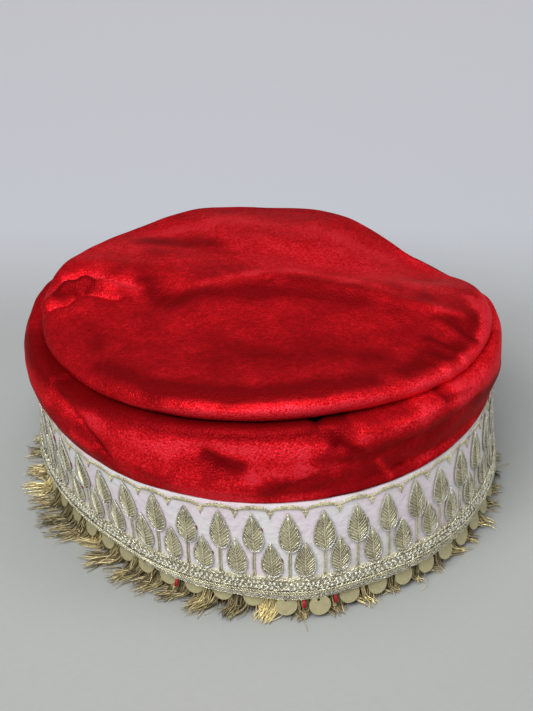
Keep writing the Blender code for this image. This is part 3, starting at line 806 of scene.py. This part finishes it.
class CAP_OT_leaves(bpy.types.Operator):
    """Embroider the two rows of leaves, with the upper row's stems"""
    bl_idname = "cap.leaves"
    bl_label = "Leaves"

    # Each row of leaves: azimuth in leaf pitches, height of the base, length and width
    ROWS = ((0.0, 21.2, 17.2, 8.0), (0.5, 10.2, 15.2, 7.7))
    UNEVEN = (0.12, 0.15, 0.02, 0.03, 0.35)  # in azimuth, base, length, width and lean
    WIDEST = 0.34  # share of the leaf's length
    PAD_GRID = (15, 11)
    VEINS = 11  # on each side
    VEIN_STEPS = 6
    RIB_STEPS = 8
    EDGE_STEPS = 90
    STEM_STEPS = 12
    RED_STEPS = 4
    PAD_OUT = 0.7
    LEAN = 0.9  # of a leaf's tip beside its base

    def half_width(self, t):
        """Half the leaves' width at a share of their height."""
        low = catch(1.0 - ((t - self.WIDEST) / self.WIDEST) ** 2, 0.0, 1.0) ** 0.45
        high = 1.0 - catch((t - self.WIDEST) / (1.0 - self.WIDEST), 0.0, 1.0) ** 1.7
        return self.wide / 2 * np.where(t < self.WIDEST, low, high)

    def swell(self, across, half):
        """How far the padded leaf stands out from the satin."""
        share = catch(np.abs(across) / (half + 1e-6), 0.0, 1.0)
        return 0.15 + self.PAD_OUT * np.sqrt(1.0 - share ** 2 * 0.92)

    def execute(self, context):
        rng = np.random.default_rng(11)
        self.face = BandFace()
        first = FIRST_LEAF + np.arange(LEAF_COUNT) * LEAF_PITCH
        shape = []
        for shift, base, length, width in self.ROWS:
            turn, size, wide, lean = rng.normal(0.0, 1.0, (4, LEAF_COUNT))
            uneven = [k * j for k, j in zip(self.UNEVEN, (turn, size, size, wide, lean))]
            shape.append((first + shift * LEAF_PITCH + uneven[0], base + uneven[1],
                          length * (1 + uneven[2]), width * (1 + uneven[3]),
                          self.LEAN + uneven[4]))
        # Each measure of the leaves broadcasts with an array of three more axes
        self.azimuth, self.base, self.length, self.wide, self.lean = (
            measure[:, None, None, None] for measure in np.concatenate(shape, axis=1))
        width = context.scene.cap_sizes.thread_width / MM
        gold = context.scene.cap_colours.gold
        bright = thread_finish("leaf_thread", scaled(gold, 0.9, 0.14), 0.3, 0.6, 0.5)
        white = thread_finish("outline_thread", scaled(gold, 0.5, 0.5), 0.2, 0.5)
        self.pads(thread_finish("leaf_ground", scaled(gold, 0.62), 0.6, 0.2))
        self.veins(width, bright, rng)
        self.outlines(width, white)
        self.stems(first, width, bright, rng)
        self.loose_ends(rng)
        return {"FINISHED"}

    def on_leaves(self, across, t, out):
        """Points of every leaf from a distance off its midrib and a share of its height."""
        centre = self.azimuth + self.lean * (1.0 - t) / ARC
        return self.face.at(centre + across / ARC, self.base + self.length * t, out)

    def pads(self, finish):
        """The padded ground of each leaf."""
        t = np.linspace(0.0, 1.0, self.PAD_GRID[0])[:, None]
        half = self.half_width(t)
        across = np.linspace(-1.0, 1.0, self.PAD_GRID[1]) * half
        pads = self.on_leaves(across, t, self.swell(across, half) - 0.25)
        rows, columns = self.PAD_GRID
        first = np.arange(len(pads))[:, None, None] * rows * columns
        faces = (grid_faces(rows, columns, False) + first).reshape(-1, 4)
        make_piece("leaf_pads", pads, faces, finish)

    def veins(self, width, finish, rng):
        """The veins that rise from each leaf's midrib to its edges, and the midrib."""
        steps = np.linspace(0.0, 1.0, self.VEIN_STEPS)
        side = np.array([-1.0, 1.0])[:, None, None]
        each = (len(self.azimuth), len(side), self.VEINS, 1)
        starts = np.linspace(0.0, 0.84, self.VEINS)[:, None] + rng.normal(0, 0.008, each)
        rise = 0.19 + 0.06 * starts + rng.normal(0, 0.02, each)
        t = catch(starts + rise * steps ** 0.9, 0.0, 0.995)
        half = self.half_width(catch(t, 0.02, 1.0))
        across = side * half * steps * 0.95
        paths = self.on_leaves(across, t, self.swell(across, half))
        rib = self.on_leaves(0.0, np.linspace(0.02, 0.9, self.RIB_STEPS), 0.25 + self.PAD_OUT)
        lay_threads("leaf_veins", [(paths.reshape(-1, self.VEIN_STEPS, 3), width * 0.4),
                                   (rib.reshape(-1, self.RIB_STEPS, 3), width * 0.42)], finish)

    def outlines(self, width, finish):
        """A twisted pair of threads round each leaf."""
        turn = np.linspace(0.0, 2 * math.pi, self.EDGE_STEPS)
        t = (1.0 - np.cos(turn)) / 2
        half = self.half_width(t)
        across = np.where(turn < math.pi, -half, half)
        strands = []
        for phase in (0.0, math.pi):
            side, up, out = wind(across, t * self.length, 1.8, width * 0.4, phase)
            strand = self.on_leaves(side, up / self.length, 0.75 + out)
            strands.append(strand.reshape(-1, self.EDGE_STEPS, 3))
        lay_threads("leaf_outlines", [(np.concatenate(strands), width * 0.38)], finish, sides=3)

    def stems(self, first, width, finish, rng):
        """Two threads side by side down from each leaf of the upper row."""
        heights = np.linspace(9.6, 22.8, self.STEM_STEPS)
        bow = np.sin(np.linspace(0, math.pi, self.STEM_STEPS))
        bend = rng.normal(0, 0.25, (LEAF_COUNT, 1)) * bow
        paths = [self.face.at(first[:, None] + (self.LEAN + side * width * 0.62 + bend) / ARC,
                              heights, 0.4) for side in (-1.0, 1.0)]
        lay_threads("leaf_stems", [(np.concatenate(paths), width * 0.46)], finish)

    def loose_ends(self, rng):
        """Red threads that show beside the right-hand edges of many leaves."""
        finish = thread_finish("red_thread", (0.3, 0.012, 0.03), 0.5, 0.1)
        start = rng.uniform(0.22, 0.6, self.azimuth.shape)
        length = rng.uniform(0.05, 0.13, self.azimuth.shape)
        t = start + length * np.linspace(0.0, 1.0, self.RED_STEPS)
        half = self.half_width(t)
        paths = self.on_leaves(half + 0.42, t, 0.3).reshape(-1, self.RED_STEPS, 3)
        shown = rng.uniform(size=len(paths)) < 0.6
        lay_threads("red_threads", [(paths[shown], 0.24)], finish)


class CAP_OT_trim(bpy.types.Operator):
    """Make the scalloped line along the band's top and the braid along its lower edge"""
    bl_idname = "cap.trim"
    bl_label = "Scallops and braid"

    # Rows of slanted stitches: height, length, slant, pitch and radius
    STITCHES = ((9.1, 2.3, 0.95, 1.5, 0.3), (8.7, 1.9, -0.85, 2.3, 0.28),
                (6.3, 1.8, 1.1, 2.2, 0.26), (4.4, 1.9, 0.9, 1.9, 0.26),
                (1.4, 2.1, 1.0, 1.6, 0.25))
    # Rows of oval beads: height and place of the first, in beads
    BEADS = ((7.2, 0.0), (5.4, 0.5), (2.0, 0.25))
    BEAD_PITCH = 2.0
    # Twisted cords: height, width and pitch
    CORDS = ((3.9, 0.55, 2.2), (3.0, 0.5, 1.9))
    NET_STEPS = 1200
    CORD_STEPS = 1600
    SCALLOP_STITCHES = 30  # in each scallop
    MARGIN_STITCHES = 11  # over each scallop
    DROP_THREADS = 7

    def execute(self, context):
        self.face = BandFace()
        gold = context.scene.cap_colours.gold
        self.round = TURN * ARC
        bright = thread_finish("braid_thread", scaled(gold, 0.85, 0.16), 0.22, 0.6)
        dull = thread_finish("scallop_thread", scaled(gold, 0.95), 0.4, 0.2)
        silver = thread_finish("silver_thread", (0.9, 0.89, 0.8), 0.25, 0.35, 0.75)
        self.grounds(context.scene.cap_colours)
        self.scallops(dull, silver)
        self.stitches(bright)
        self.beads(silver)
        self.net(bright)
        self.cords(bright)
        return {"FINISHED"}

    def strip(self, name, profile, finish):
        """A closed strip round the band from its profile of heights and outward places."""
        azimuths = np.arange(0.0, TURN, 0.5)
        height, out = np.array(profile).T
        points = self.face.at(azimuths[:, None], height, out)
        return make_sheet(name, points, finish, 0.5)

    def grounds(self, colours):
        """The braid's ground, and the pale tape along its lower edge."""
        net = thread_finish("braid_net", scaled(colours.gold, 0.5, 0.2), 0.45, 0.1)
        ground = self.strip("braid_ground", ((0.2, 0.3), (0.6, 0.8), (3.0, 0.8), (6.0, 0.7),
                                             (9.2, 0.6), (9.9, 0.1)), net)
        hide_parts("gold_braid")
        self.strip("edge_tape", ((0.1, 0.6), (0.35, 1.0), (1.4, 1.15), (2.6, 1.0), (2.8, 0.7)),
                   satin_finish(scaled(colours.satin, 0.9)))

    def scallops(self, dull, silver):
        """The scalloped line, the drops at its points and the dashes above it."""
        place = np.arange(LEAF_COUNT * self.SCALLOP_STITCHES) / self.SCALLOP_STITCHES
        share = place % 1.0
        azimuth = FIRST_LEAF + (place - 0.5) * TURN / LEAF_COUNT
        middle = 38.7 + 1.8 * np.sin(np.pi * share) ** 0.6
        thick = 0.75 + 0.7 * np.sin(np.pi * share)
        steps = np.linspace(-0.5, 0.5, 4)
        paths = self.face.at(azimuth[:, None] + 0.5 * steps / ARC,
                             middle[:, None] + steps * thick[:, None], 0.4)
        lay_threads("scallop_line", [(paths, 0.22)], dull)
        drops = FIRST_LEAF + (np.arange(LEAF_COUNT) + 0.5) * TURN / LEAF_COUNT
        along = np.linspace(0.0, 1.0, 5)
        fans = [self.face.at(drops[:, None] + fan * 1.2 * (1 - along) / ARC,
                             38.6 - 3.0 * along * (1 - 0.35 * abs(fan)), 0.4)
                for fan in np.linspace(-1.0, 1.0, self.DROP_THREADS)]
        lay_threads("scallop_drops", [(np.concatenate(fans), 0.22)], dull)
        dash = np.repeat(drops + 0.5 * TURN / LEAF_COUNT, self.MARGIN_STITCHES)
        across = np.tile(np.linspace(-4.6, 4.6, self.MARGIN_STITCHES), LEAF_COUNT)
        rise = 41.5 - 0.045 * across ** 2
        paths = self.face.at((dash + across / ARC)[:, None] + 0.9 * steps / ARC,
                             rise[:, None] + 0.4 * steps, 0.35)
        lay_threads("margin_threads", [(paths, 0.17)], silver)

    def slanted(self, azimuth, up, tilt, steps, out):
        """Short straight threads round the band, each at a tilt from upright."""
        return self.face.at(azimuth[:, None] + steps * np.sin(tilt) / ARC,
                            up[:, None] + steps * np.cos(tilt), out)

    def stitches(self, finish):
        """Rows of slanted stitches, arched in the middle."""
        rng = np.random.default_rng(5)
        groups = []
        steps = np.linspace(-0.5, 0.5, 4)
        for height, length, slant, pitch, radius in self.STITCHES:
            count = int(self.round / pitch)
            azimuth = np.arange(count) * TURN / count + rng.normal(0, 0.2, count)
            tilt = (slant + rng.normal(0, 0.45, count))[:, None]
            long = (length * rng.uniform(0.65, 1.2, count))[:, None]
            up = height + rng.normal(0, 0.3, count)
            arch = 1.5 - 1.6 * steps ** 2
            groups.append((self.slanted(azimuth, up, tilt, steps * long, arch), radius))
        lay_threads("braid_stitches", groups, finish)

    def beads(self, finish):
        """Rows of oval metallic beads."""
        rng = np.random.default_rng(9)
        count = int(self.round / self.BEAD_PITCH)
        along = np.linspace(-1.0, 1.0, 6)
        groups = []
        for height, first in self.BEADS:
            azimuth = (np.arange(count) + first) * TURN / count + rng.normal(0, 0.12, count)
            tilt = rng.normal(0, 0.6, count)[:, None]
            up = height + rng.normal(0, 0.2, count)
            groups.append((self.slanted(azimuth, up, tilt, 0.8 * along, 1.25),
                           0.55 * np.sqrt(1.02 - along ** 2)))
        lay_threads("braid_beads", groups, finish, sides=6)

    def net(self, finish):
        """Threads that weave round the rows of beads."""
        azimuth = np.arange(self.NET_STEPS + 1) * TURN / self.NET_STEPS
        count = int(self.round / self.BEAD_PITCH)
        groups = []
        for height, first in self.BEADS:
            turns = np.pi * (azimuth / TURN * count - first)
            sway = np.array([[1.0], [-1.0]]) * np.cos(turns)
            groups.append((self.face.at(azimuth, height + 1.0 * sway, 1.35 + 0.15 * sway), 0.2))
        sag = 0.35 * np.abs(np.sin(np.pi * azimuth / TURN * LEAF_COUNT * 3))
        for height in (4.5, 0.2):
            groups.append((self.face.at(azimuth, height + sag, 1.2)[None], 0.24))
        lay_threads("braid_threads", groups, finish, sides=3)

    def cords(self, finish):
        """Twisted cords of two strands along the braid."""
        azimuth = np.arange(self.CORD_STEPS + 1) * TURN / self.CORD_STEPS
        strands = []
        for height, width, pitch in self.CORDS:
            for phase in (0.0, math.pi):
                level = np.full_like(azimuth, height)
                side, up, out = wind(azimuth * ARC, level, pitch, width / 2, phase)
                strands.append(self.face.at(side / ARC, up, 1.9 + out))
        lay_threads("edge_cord", [(np.array(strands), 0.3)], finish, sides=3)


class CAP_OT_sequins(bpy.types.Operator):
    """Hang the sequins under the braid"""
    bl_idname = "cap.sequins"
    bl_label = "Sequins"

    THICKNESS = 0.35
    HOLE = 0.55  # its radius
    HOLE_DOWN = 1.7  # from the sequin's upper edge
    SIDES = 32
    FREE = (10.0, 8.0, 2.0)  # azimuth, width and reach of those that hang out in front
    LEAST = 8  # free vertices of a sequin of the frame
    RED_ENDS = (-22.0, 9.0, 16.4)  # azimuths
    RED_LENGTH = 2.4

    def execute(self, context):
        radius = context.scene.cap_sizes.sequin_width / MM / 2
        middle, width, reach = self.FREE
        points, faces = [], []
        rng = np.random.default_rng(3)
        for azimuth, low, high in self.hung_places():
            tilt = math.atan2(low[0] - high[0], high[1] - low[1])
            low[0] += reach * math.exp(-((azimuth - middle) / width) ** 2)
            disc, quads = self.disc(azimuth, low, tilt, radius, rng.normal(0, 0.1))
            faces.append(quads + sum(len(p) for p in points))
            points.append(disc)
        piece = make_piece("sequins", np.concatenate(points), np.concatenate(faces),
                           sequin_finish(context.scene.cap_colours.sequin),
                           smooth=False)
        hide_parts("sequin_row")
        self.red_ends()
        return {"FINISHED"}

    def red_ends(self):
        """Ends of red velvet that show between a few sequins, at the azimuths of RED_ENDS."""
        face = BandFace()
        azimuth = np.add.outer(self.RED_ENDS, np.linspace(-0.2, 0.2, 3)).ravel()
        drop = np.linspace(0.0, 1.0, 3)
        z = face.read(face.edge, azimuth)[:, None] - 0.2 - self.RED_LENGTH * drop
        radius = face.read(face.radius, azimuth)[:, None] + 1.2 + 1.2 * drop
        paths = plan_point(azimuth[:, None], radius, z)
        finish = thread_finish("red_end", (0.42, 0.008, 0.015), 0.6, 0.1)
        lay_threads("red_ends", [(paths, 0.36)], finish)

    def hung_places(self):
        """Azimuth, lowest and highest free place (radius and height) of the frame's sequins."""
        face = BandFace()
        verts = np.array([v.co for v in bpy.data.objects["sequin_row"].data.vertices])
        flat = (verts[:, :2] - AXIS) / MM
        azimuth = np.degrees(np.arctan2(flat[:, 0], -flat[:, 1] / OVAL)) % TURN
        radius = np.hypot(flat[:, 0], flat[:, 1] / OVAL)
        z = verts[:, 2] / MM
        hanging = z < face.read(face.edge, azimuth) - 0.4
        azimuth, radius, z = (v[hanging] for v in (azimuth, radius, z))
        middles = strung(0.5)
        nearest = np.abs(centred(azimuth[:, None] - middles)).argmin(axis=1)
        places = []
        for k, middle in enumerate(middles):
            group = np.nonzero(nearest == k)[0]
            if len(group) < self.LEAST:
                raise RuntimeError(f"The sequin at azimuth {middle} is missing")
            ranked = group[np.argsort(z[group])]
            share = len(group) // 4
            low, high = ([radius[ends].mean(), z[ends].mean()]
                         for ends in (ranked[:share], ranked[-share:]))
            places.append((middle, low, high))
        return places

    def disc(self, azimuth, low, tilt, radius, swing):
        """One sequin with its hole, from its lowest place and its tilt outwards."""
        k = np.arange(self.SIDES)
        angle = k * 2 * math.pi / self.SIDES
        loops = []
        for share, out in ((1.0, 0.5), (1.0, -0.5), (0.0, -0.5), (0.0, 0.5)):
            size = radius * share + self.HOLE * (1 - share)
            up = (1 - share) * (radius - self.HOLE_DOWN)
            loops.append((np.cos(angle) * size, np.sin(angle) * size + up,
                          np.full(self.SIDES, out * self.THICKNESS)))
        x, y, out = (np.concatenate(c) for c in zip(*loops))
        x, y = (x * math.cos(swing) - y * math.sin(swing),
                x * math.sin(swing) + y * math.cos(swing))
        up = y + radius
        r = low[0] - up * math.sin(tilt) + out * math.cos(tilt)
        z = low[1] - 0.2 + up * math.cos(tilt) + out * math.sin(tilt)
        after = (k + 1) % self.SIDES
        quads = [np.stack([a + k, b + k, b + after, a + after], axis=-1)
                 for a, b in self.SIDES * np.array(((0, 1), (1, 2), (2, 3), (3, 0)))]
        return plan_point(azimuth + x / ARC, r, z), np.concatenate(quads)


class CAP_OT_fringe(bpy.types.Operator):
    """Hang the tassels' threads and let them splay on the floor"""
    bl_idname = "cap.fringe"
    bl_label = "Tassel fringe"

    THREADS = 52  # in a full tassel
    CURTAIN = 1700  # threads that hang
    STRAYS = 70
    STRAY_STEPS = 15
    HALF_WIDTH = 3.3  # of a tassel at its top, in degrees
    BEND = 0.42  # share of a thread's length where it meets the floor

    # How the tassels lie. Columns: azimuth, lean sideways in degrees, reach, fullness
    LIE = ((-180, 0.0, 6.5, 0.8), (-110, -2.0, 9.0, 0.9), (-80, -8.0, 13.0, 1.0),
           (-55, -34.0, 15.0, 1.0), (-35, -48.0, 14.0, 1.1), (-12, -50.0, 11.0, 1.2),
           (4, -6.0, 6.5, 1.1), (18, 14.0, 5.5, 0.6), (35, 12.0, 4.5, 0.3),
           (60, 8.0, 8.0, 0.4), (85, 5.0, 8.0, 0.6), (130, 0.0, 7.0, 0.8), (180, 0.0, 6.5, 0.8))

    def lie(self, azimuth):
        """Lean, reach and fullness of the fringe at each azimuth."""
        rows = np.array(self.LIE).T
        return [np.interp(centred(azimuth), rows[0], row) for row in rows[1:]]

    def execute(self, context):
        self.face = BandFace()
        rng = np.random.default_rng(21)
        finish = fringe_finish(context.scene.cap_colours.fringe)
        hanging, lying, stray = (make(rng) for make in (self.curtain, self.tassels, self.strays))
        tassels = self.lay("tassel_threads", lying, finish)
        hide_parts("tassel_fringe")
        self.lay("hanging_threads", hanging, finish)
        self.lay("stray_threads", stray, finish)
        return {"FINISHED"}

    def lay(self, name, threads, finish):
        """A piece of the fringe from its threads' paths, radii and tones."""
        paths, radius, tones = threads
        return lay_threads(name, [(paths, radius)], finish, 3, tones)

    def curtain(self, rng):
        """Threads that hang straight down behind and between the sequins, darkened by painted
        shade through their low tones.
        """
        azimuth = rng.uniform(0.0, TURN, self.CURTAIN)
        t = np.linspace(0.0, 1.0, 6)
        low = self.face.read(self.face.edge, azimuth)[:, None]
        rest = rng.uniform(0.2, 1.2, (self.CURTAIN, 1))
        z = (low + 1.0) * (1 - t) + rest * t
        sway = rng.normal(0, 0.9, (self.CURTAIN, 1)) * t ** 1.5
        out = rng.uniform(-2.6, -1.4, (self.CURTAIN, 1)) + rng.uniform(
            0.0, 2.2, (self.CURTAIN, 1)) * t ** 2
        radius = self.face.read(self.face.radius, azimuth)[:, None] + out
        paths = plan_point(azimuth[:, None] + sway / ARC, radius, z)
        # Low tones paint the shade that the hanging threads lie in
        return paths, 0.24 * (1.0 - 0.5 * t ** 3), rng.uniform(0.0, 0.5, self.CURTAIN)

    def tassels(self, rng):
        """Bundles of foil threads that run down and lie outwards on the floor."""
        middles = strung(0.0)
        lean, reach, fullness = self.lie(middles)
        lean = np.radians(lean + rng.normal(0, 12, SEQUIN_COUNT))
        reach = reach * rng.uniform(0.8, 1.15, SEQUIN_COUNT)
        kept = (self.THREADS * fullness * rng.uniform(0.75, 1.2, SEQUIN_COUNT)).astype(int)
        which = np.repeat(np.arange(SEQUIN_COUNT), kept)
        count = len(which)
        off = rng.uniform(-self.HALF_WIDTH, self.HALF_WIDTH, count)
        turned = (lean[which] + rng.normal(0, 0.24, count))[:, None]
        length = (reach[which] * rng.uniform(0.45, 1.12, count))[:, None]
        t = np.linspace(0.0, 1.0, 9)
        start = (middles[which] + off)[:, None]
        low = self.face.read(self.face.edge, start)
        fall = catch(t / self.BEND, 0.0, 1.0)
        run = catch((t - 0.22) / 0.78, 0.0, 1.0)
        rest = rng.uniform(0.2, 1.7, (count, 1))
        hump = np.sin(np.pi * run)
        z = (low + 1.0) * (1 - fall ** 1.4) + rest * fall
        z = z + rng.uniform(0.0, 1.1, (count, 1)) * hump
        gather = -0.7 * off[:, None] * ARC * np.sin(0.5 * np.pi * run)
        side = np.sin(turned) * length * run ** 1.1 + gather
        side = side + rng.normal(0, 0.7, (count, 1)) * hump
        out = rng.uniform(-2.4, -1.0, (count, 1)) + np.cos(turned) * length * run
        radius = self.face.read(self.face.radius, start) + out
        paths = plan_point(start + side / ARC, radius, catch(z, 0.22, 20.0))
        width = rng.uniform(0.18, 0.32, (count, 1)) * (1.0 - 0.7 * t ** 5)
        # Random tones, whose high end the fringe's ramp turns into painted highlight
        tone = rng.uniform(0.2, 0.85, count) + rng.normal(0, 0.15, SEQUIN_COUNT)[which]
        return paths, width, tone

    def strays(self, rng):
        """Thin single threads that curl away on the floor."""
        azimuth = rng.uniform(0.0, TURN, (self.STRAYS, 1))
        t = np.linspace(0.0, 1.0, self.STRAY_STEPS + 1)
        length = rng.uniform(4.0, 11.0, (self.STRAYS, 1))
        curl = rng.uniform(-2.6, 2.6, (self.STRAYS, 1)) * t
        lean = rng.normal(0, 0.6, (self.STRAYS, 1))
        step = length / self.STRAY_STEPS
        side = np.cumsum(np.sin(lean + curl) * step, axis=1)
        out = np.cumsum(np.cos(lean + curl) * step, axis=1) - 1.0
        z = 0.2 + 2.0 * (1 - catch(t * 5, 0.0, 1.0)) + rng.uniform(
            0, 1.5, (self.STRAYS, 1)) * np.sin(np.pi * t)
        radius = self.face.read(self.face.radius, azimuth) + out
        return (plan_point(azimuth + side / ARC, radius, z), 0.09,
                rng.uniform(0.3, 0.9, self.STRAYS))


class CAP_OT_stage(bpy.types.Operator):
    """Set the floor, the lights and the camera"""
    bl_idname = "cap.stage"
    bl_label = "Stage"

    EYE_DISTANCE = 831.0
    EYE_ELEVATION = 33.0
    AIM = (0.7335, 54.21)  # across from the cap's axis, and up
    LENS = 105.66  # for a sensor of SENSOR mm
    SENSOR = 36.0
    WORLD = (0.93, 0.93, 1.0, 1.0)
    WORLD_STRENGTH = 0.2
    TABLE_HALF = 3.0  # half the table's width, in metres
    TABLE_FRONT = 0.3  # where its colours start, in metres before the middle

    # The table's colours, by metres behind TABLE_FRONT: painted shade darkens the front, where the
    # key light falls strongest, and the back, standing for the backdrop, is paler and bluer, its
    # own lavender tint with painted light
    TABLE_TINTS_AND_SHADE = ((0.0, (0.34, 0.355, 0.34)), (0.42, (0.41, 0.425, 0.42)), (0.5, (0.56, 0.58, 0.62)),
             (0.9, (0.76, 0.75, 0.79)))

    # Each light: name, place, aim height, size and power in watts
    LIGHTS = (("key", (-0.35, -0.75, 1.05), 0.05, 0.8, 16.0),
              ("top", (0.1, 0.1, 1.4), 0.0, 1.0, 5.0),
              ("right", (1.1, -0.2, 0.7), 0.05, 0.6, 3.0))

    def execute(self, context):
        self.floor()
        self.world(context.scene)
        for name, place, height, size, power in self.LIGHTS:
            self.light(name, Vector(place), height, size, power)
        self.camera(context.scene)
        context.scene.view_settings.view_transform = "Standard"
        return {"FINISHED"}

    def floor(self):
        finish = Finish("table_with_painted_shade")
        speck = finish.grain(3.0, detail=3.0)
        back = finish.node("ShaderNodeSeparateXYZ", {"Vector": finish.place()}, output="Y")
        # Painted shade at the table's front and painted light at its back, with the backdrop's own
        # tint
        tone = finish.ramp(back + self.TABLE_FRONT, *self.TABLE_TINTS_AND_SHADE)
        material = finish.set({
            "Base Color": finish.mix(finish.ramp(speck, (0.3, 0.0), (0.7, 0.05)), tone,
                                     (0.6, 0.6, 0.6)),
            "Roughness": 0.7})
        mesh = bpy.data.meshes.new("table")
        corners = [(x * self.TABLE_HALF, y * self.TABLE_HALF, 0)
                   for x, y in ((-1, -1), (1, -1), (1, 1), (-1, 1))]
        mesh.from_pydata(corners, [], [(0, 1, 2, 3)])
        mesh.materials.append(material)
        table = bpy.data.objects.new("table", mesh)
        bpy.context.scene.collection.objects.link(table)

    def world(self, scene):
        world = bpy.data.worlds.new("studio")
        world.use_nodes = True
        background = world.node_tree.nodes["Background"]
        background.inputs["Color"].default_value = self.WORLD
        background.inputs["Strength"].default_value = self.WORLD_STRENGTH
        scene.world = world

    def light(self, name, place, height, size, power):
        lamp = bpy.data.lights.new(name, "AREA")
        lamp.size = size
        lamp.energy = power
        holder = bpy.data.objects.new(name, lamp)
        holder.location = place
        holder.rotation_euler = (Vector((0.0, 0.0, height)) - place).to_track_quat(
            "-Z", "Y").to_euler()
        bpy.context.scene.collection.objects.link(holder)

    def camera(self, scene):
        elevation = math.radians(self.EYE_ELEVATION)
        data = bpy.data.cameras.new("camera")
        data.lens = self.LENS
        data.sensor_width = self.SENSOR
        camera = bpy.data.objects.new("camera", data)
        camera.location = (AXIS[0] + self.AIM[0] * MM,
                           AXIS[1] - self.EYE_DISTANCE * MM * math.cos(elevation),
                           (self.AIM[1] + self.EYE_DISTANCE * math.sin(elevation)) * MM)
        camera.rotation_euler = (math.radians(90.0) - elevation, 0.0, 0.0)
        scene.collection.objects.link(camera)
        scene.camera = camera


class CAP_PT_panel(bpy.types.Panel):
    """Lists the cap's steps"""
    bl_label = "Velvet cap"
    bl_idname = "CAP_PT_panel"
    bl_space_type = "VIEW_3D"
    bl_region_type = "UI"
    bl_category = "Cap"

    def draw(self, context):
        for group in (context.scene.cap_sizes, context.scene.cap_colours):
            for name in group.bl_rna.properties.keys():
                if name not in ("rna_type", "name"):
                    self.layout.prop(group, name)
        for operator in OPERATORS:
            self.layout.operator(operator.bl_idname)


OPERATORS = (CAP_OT_velvet, CAP_OT_band, CAP_OT_leaves, CAP_OT_trim, CAP_OT_sequins,
             CAP_OT_fringe, CAP_OT_stage)
CLASSES = (CapSizes, CapColours, *OPERATORS, CAP_PT_panel)


def register():
    for kind in CLASSES:
        bpy.utils.register_class(kind)
    bpy.types.Scene.cap_sizes = bpy.props.PointerProperty(type=CapSizes)
    bpy.types.Scene.cap_colours = bpy.props.PointerProperty(type=CapColours)


def unregister():
    del bpy.types.Scene.cap_sizes
    del bpy.types.Scene.cap_colours
    for kind in reversed(CLASSES):
        bpy.utils.unregister_class(kind)


def main():
    register()
    bpy.ops.cap.velvet()
    bpy.ops.cap.band()
    bpy.ops.cap.leaves()
    bpy.ops.cap.trim()
    bpy.ops.cap.sequins()
    bpy.ops.cap.fringe()
    bpy.ops.cap.stage()


if __name__ == "__main__":
    main()
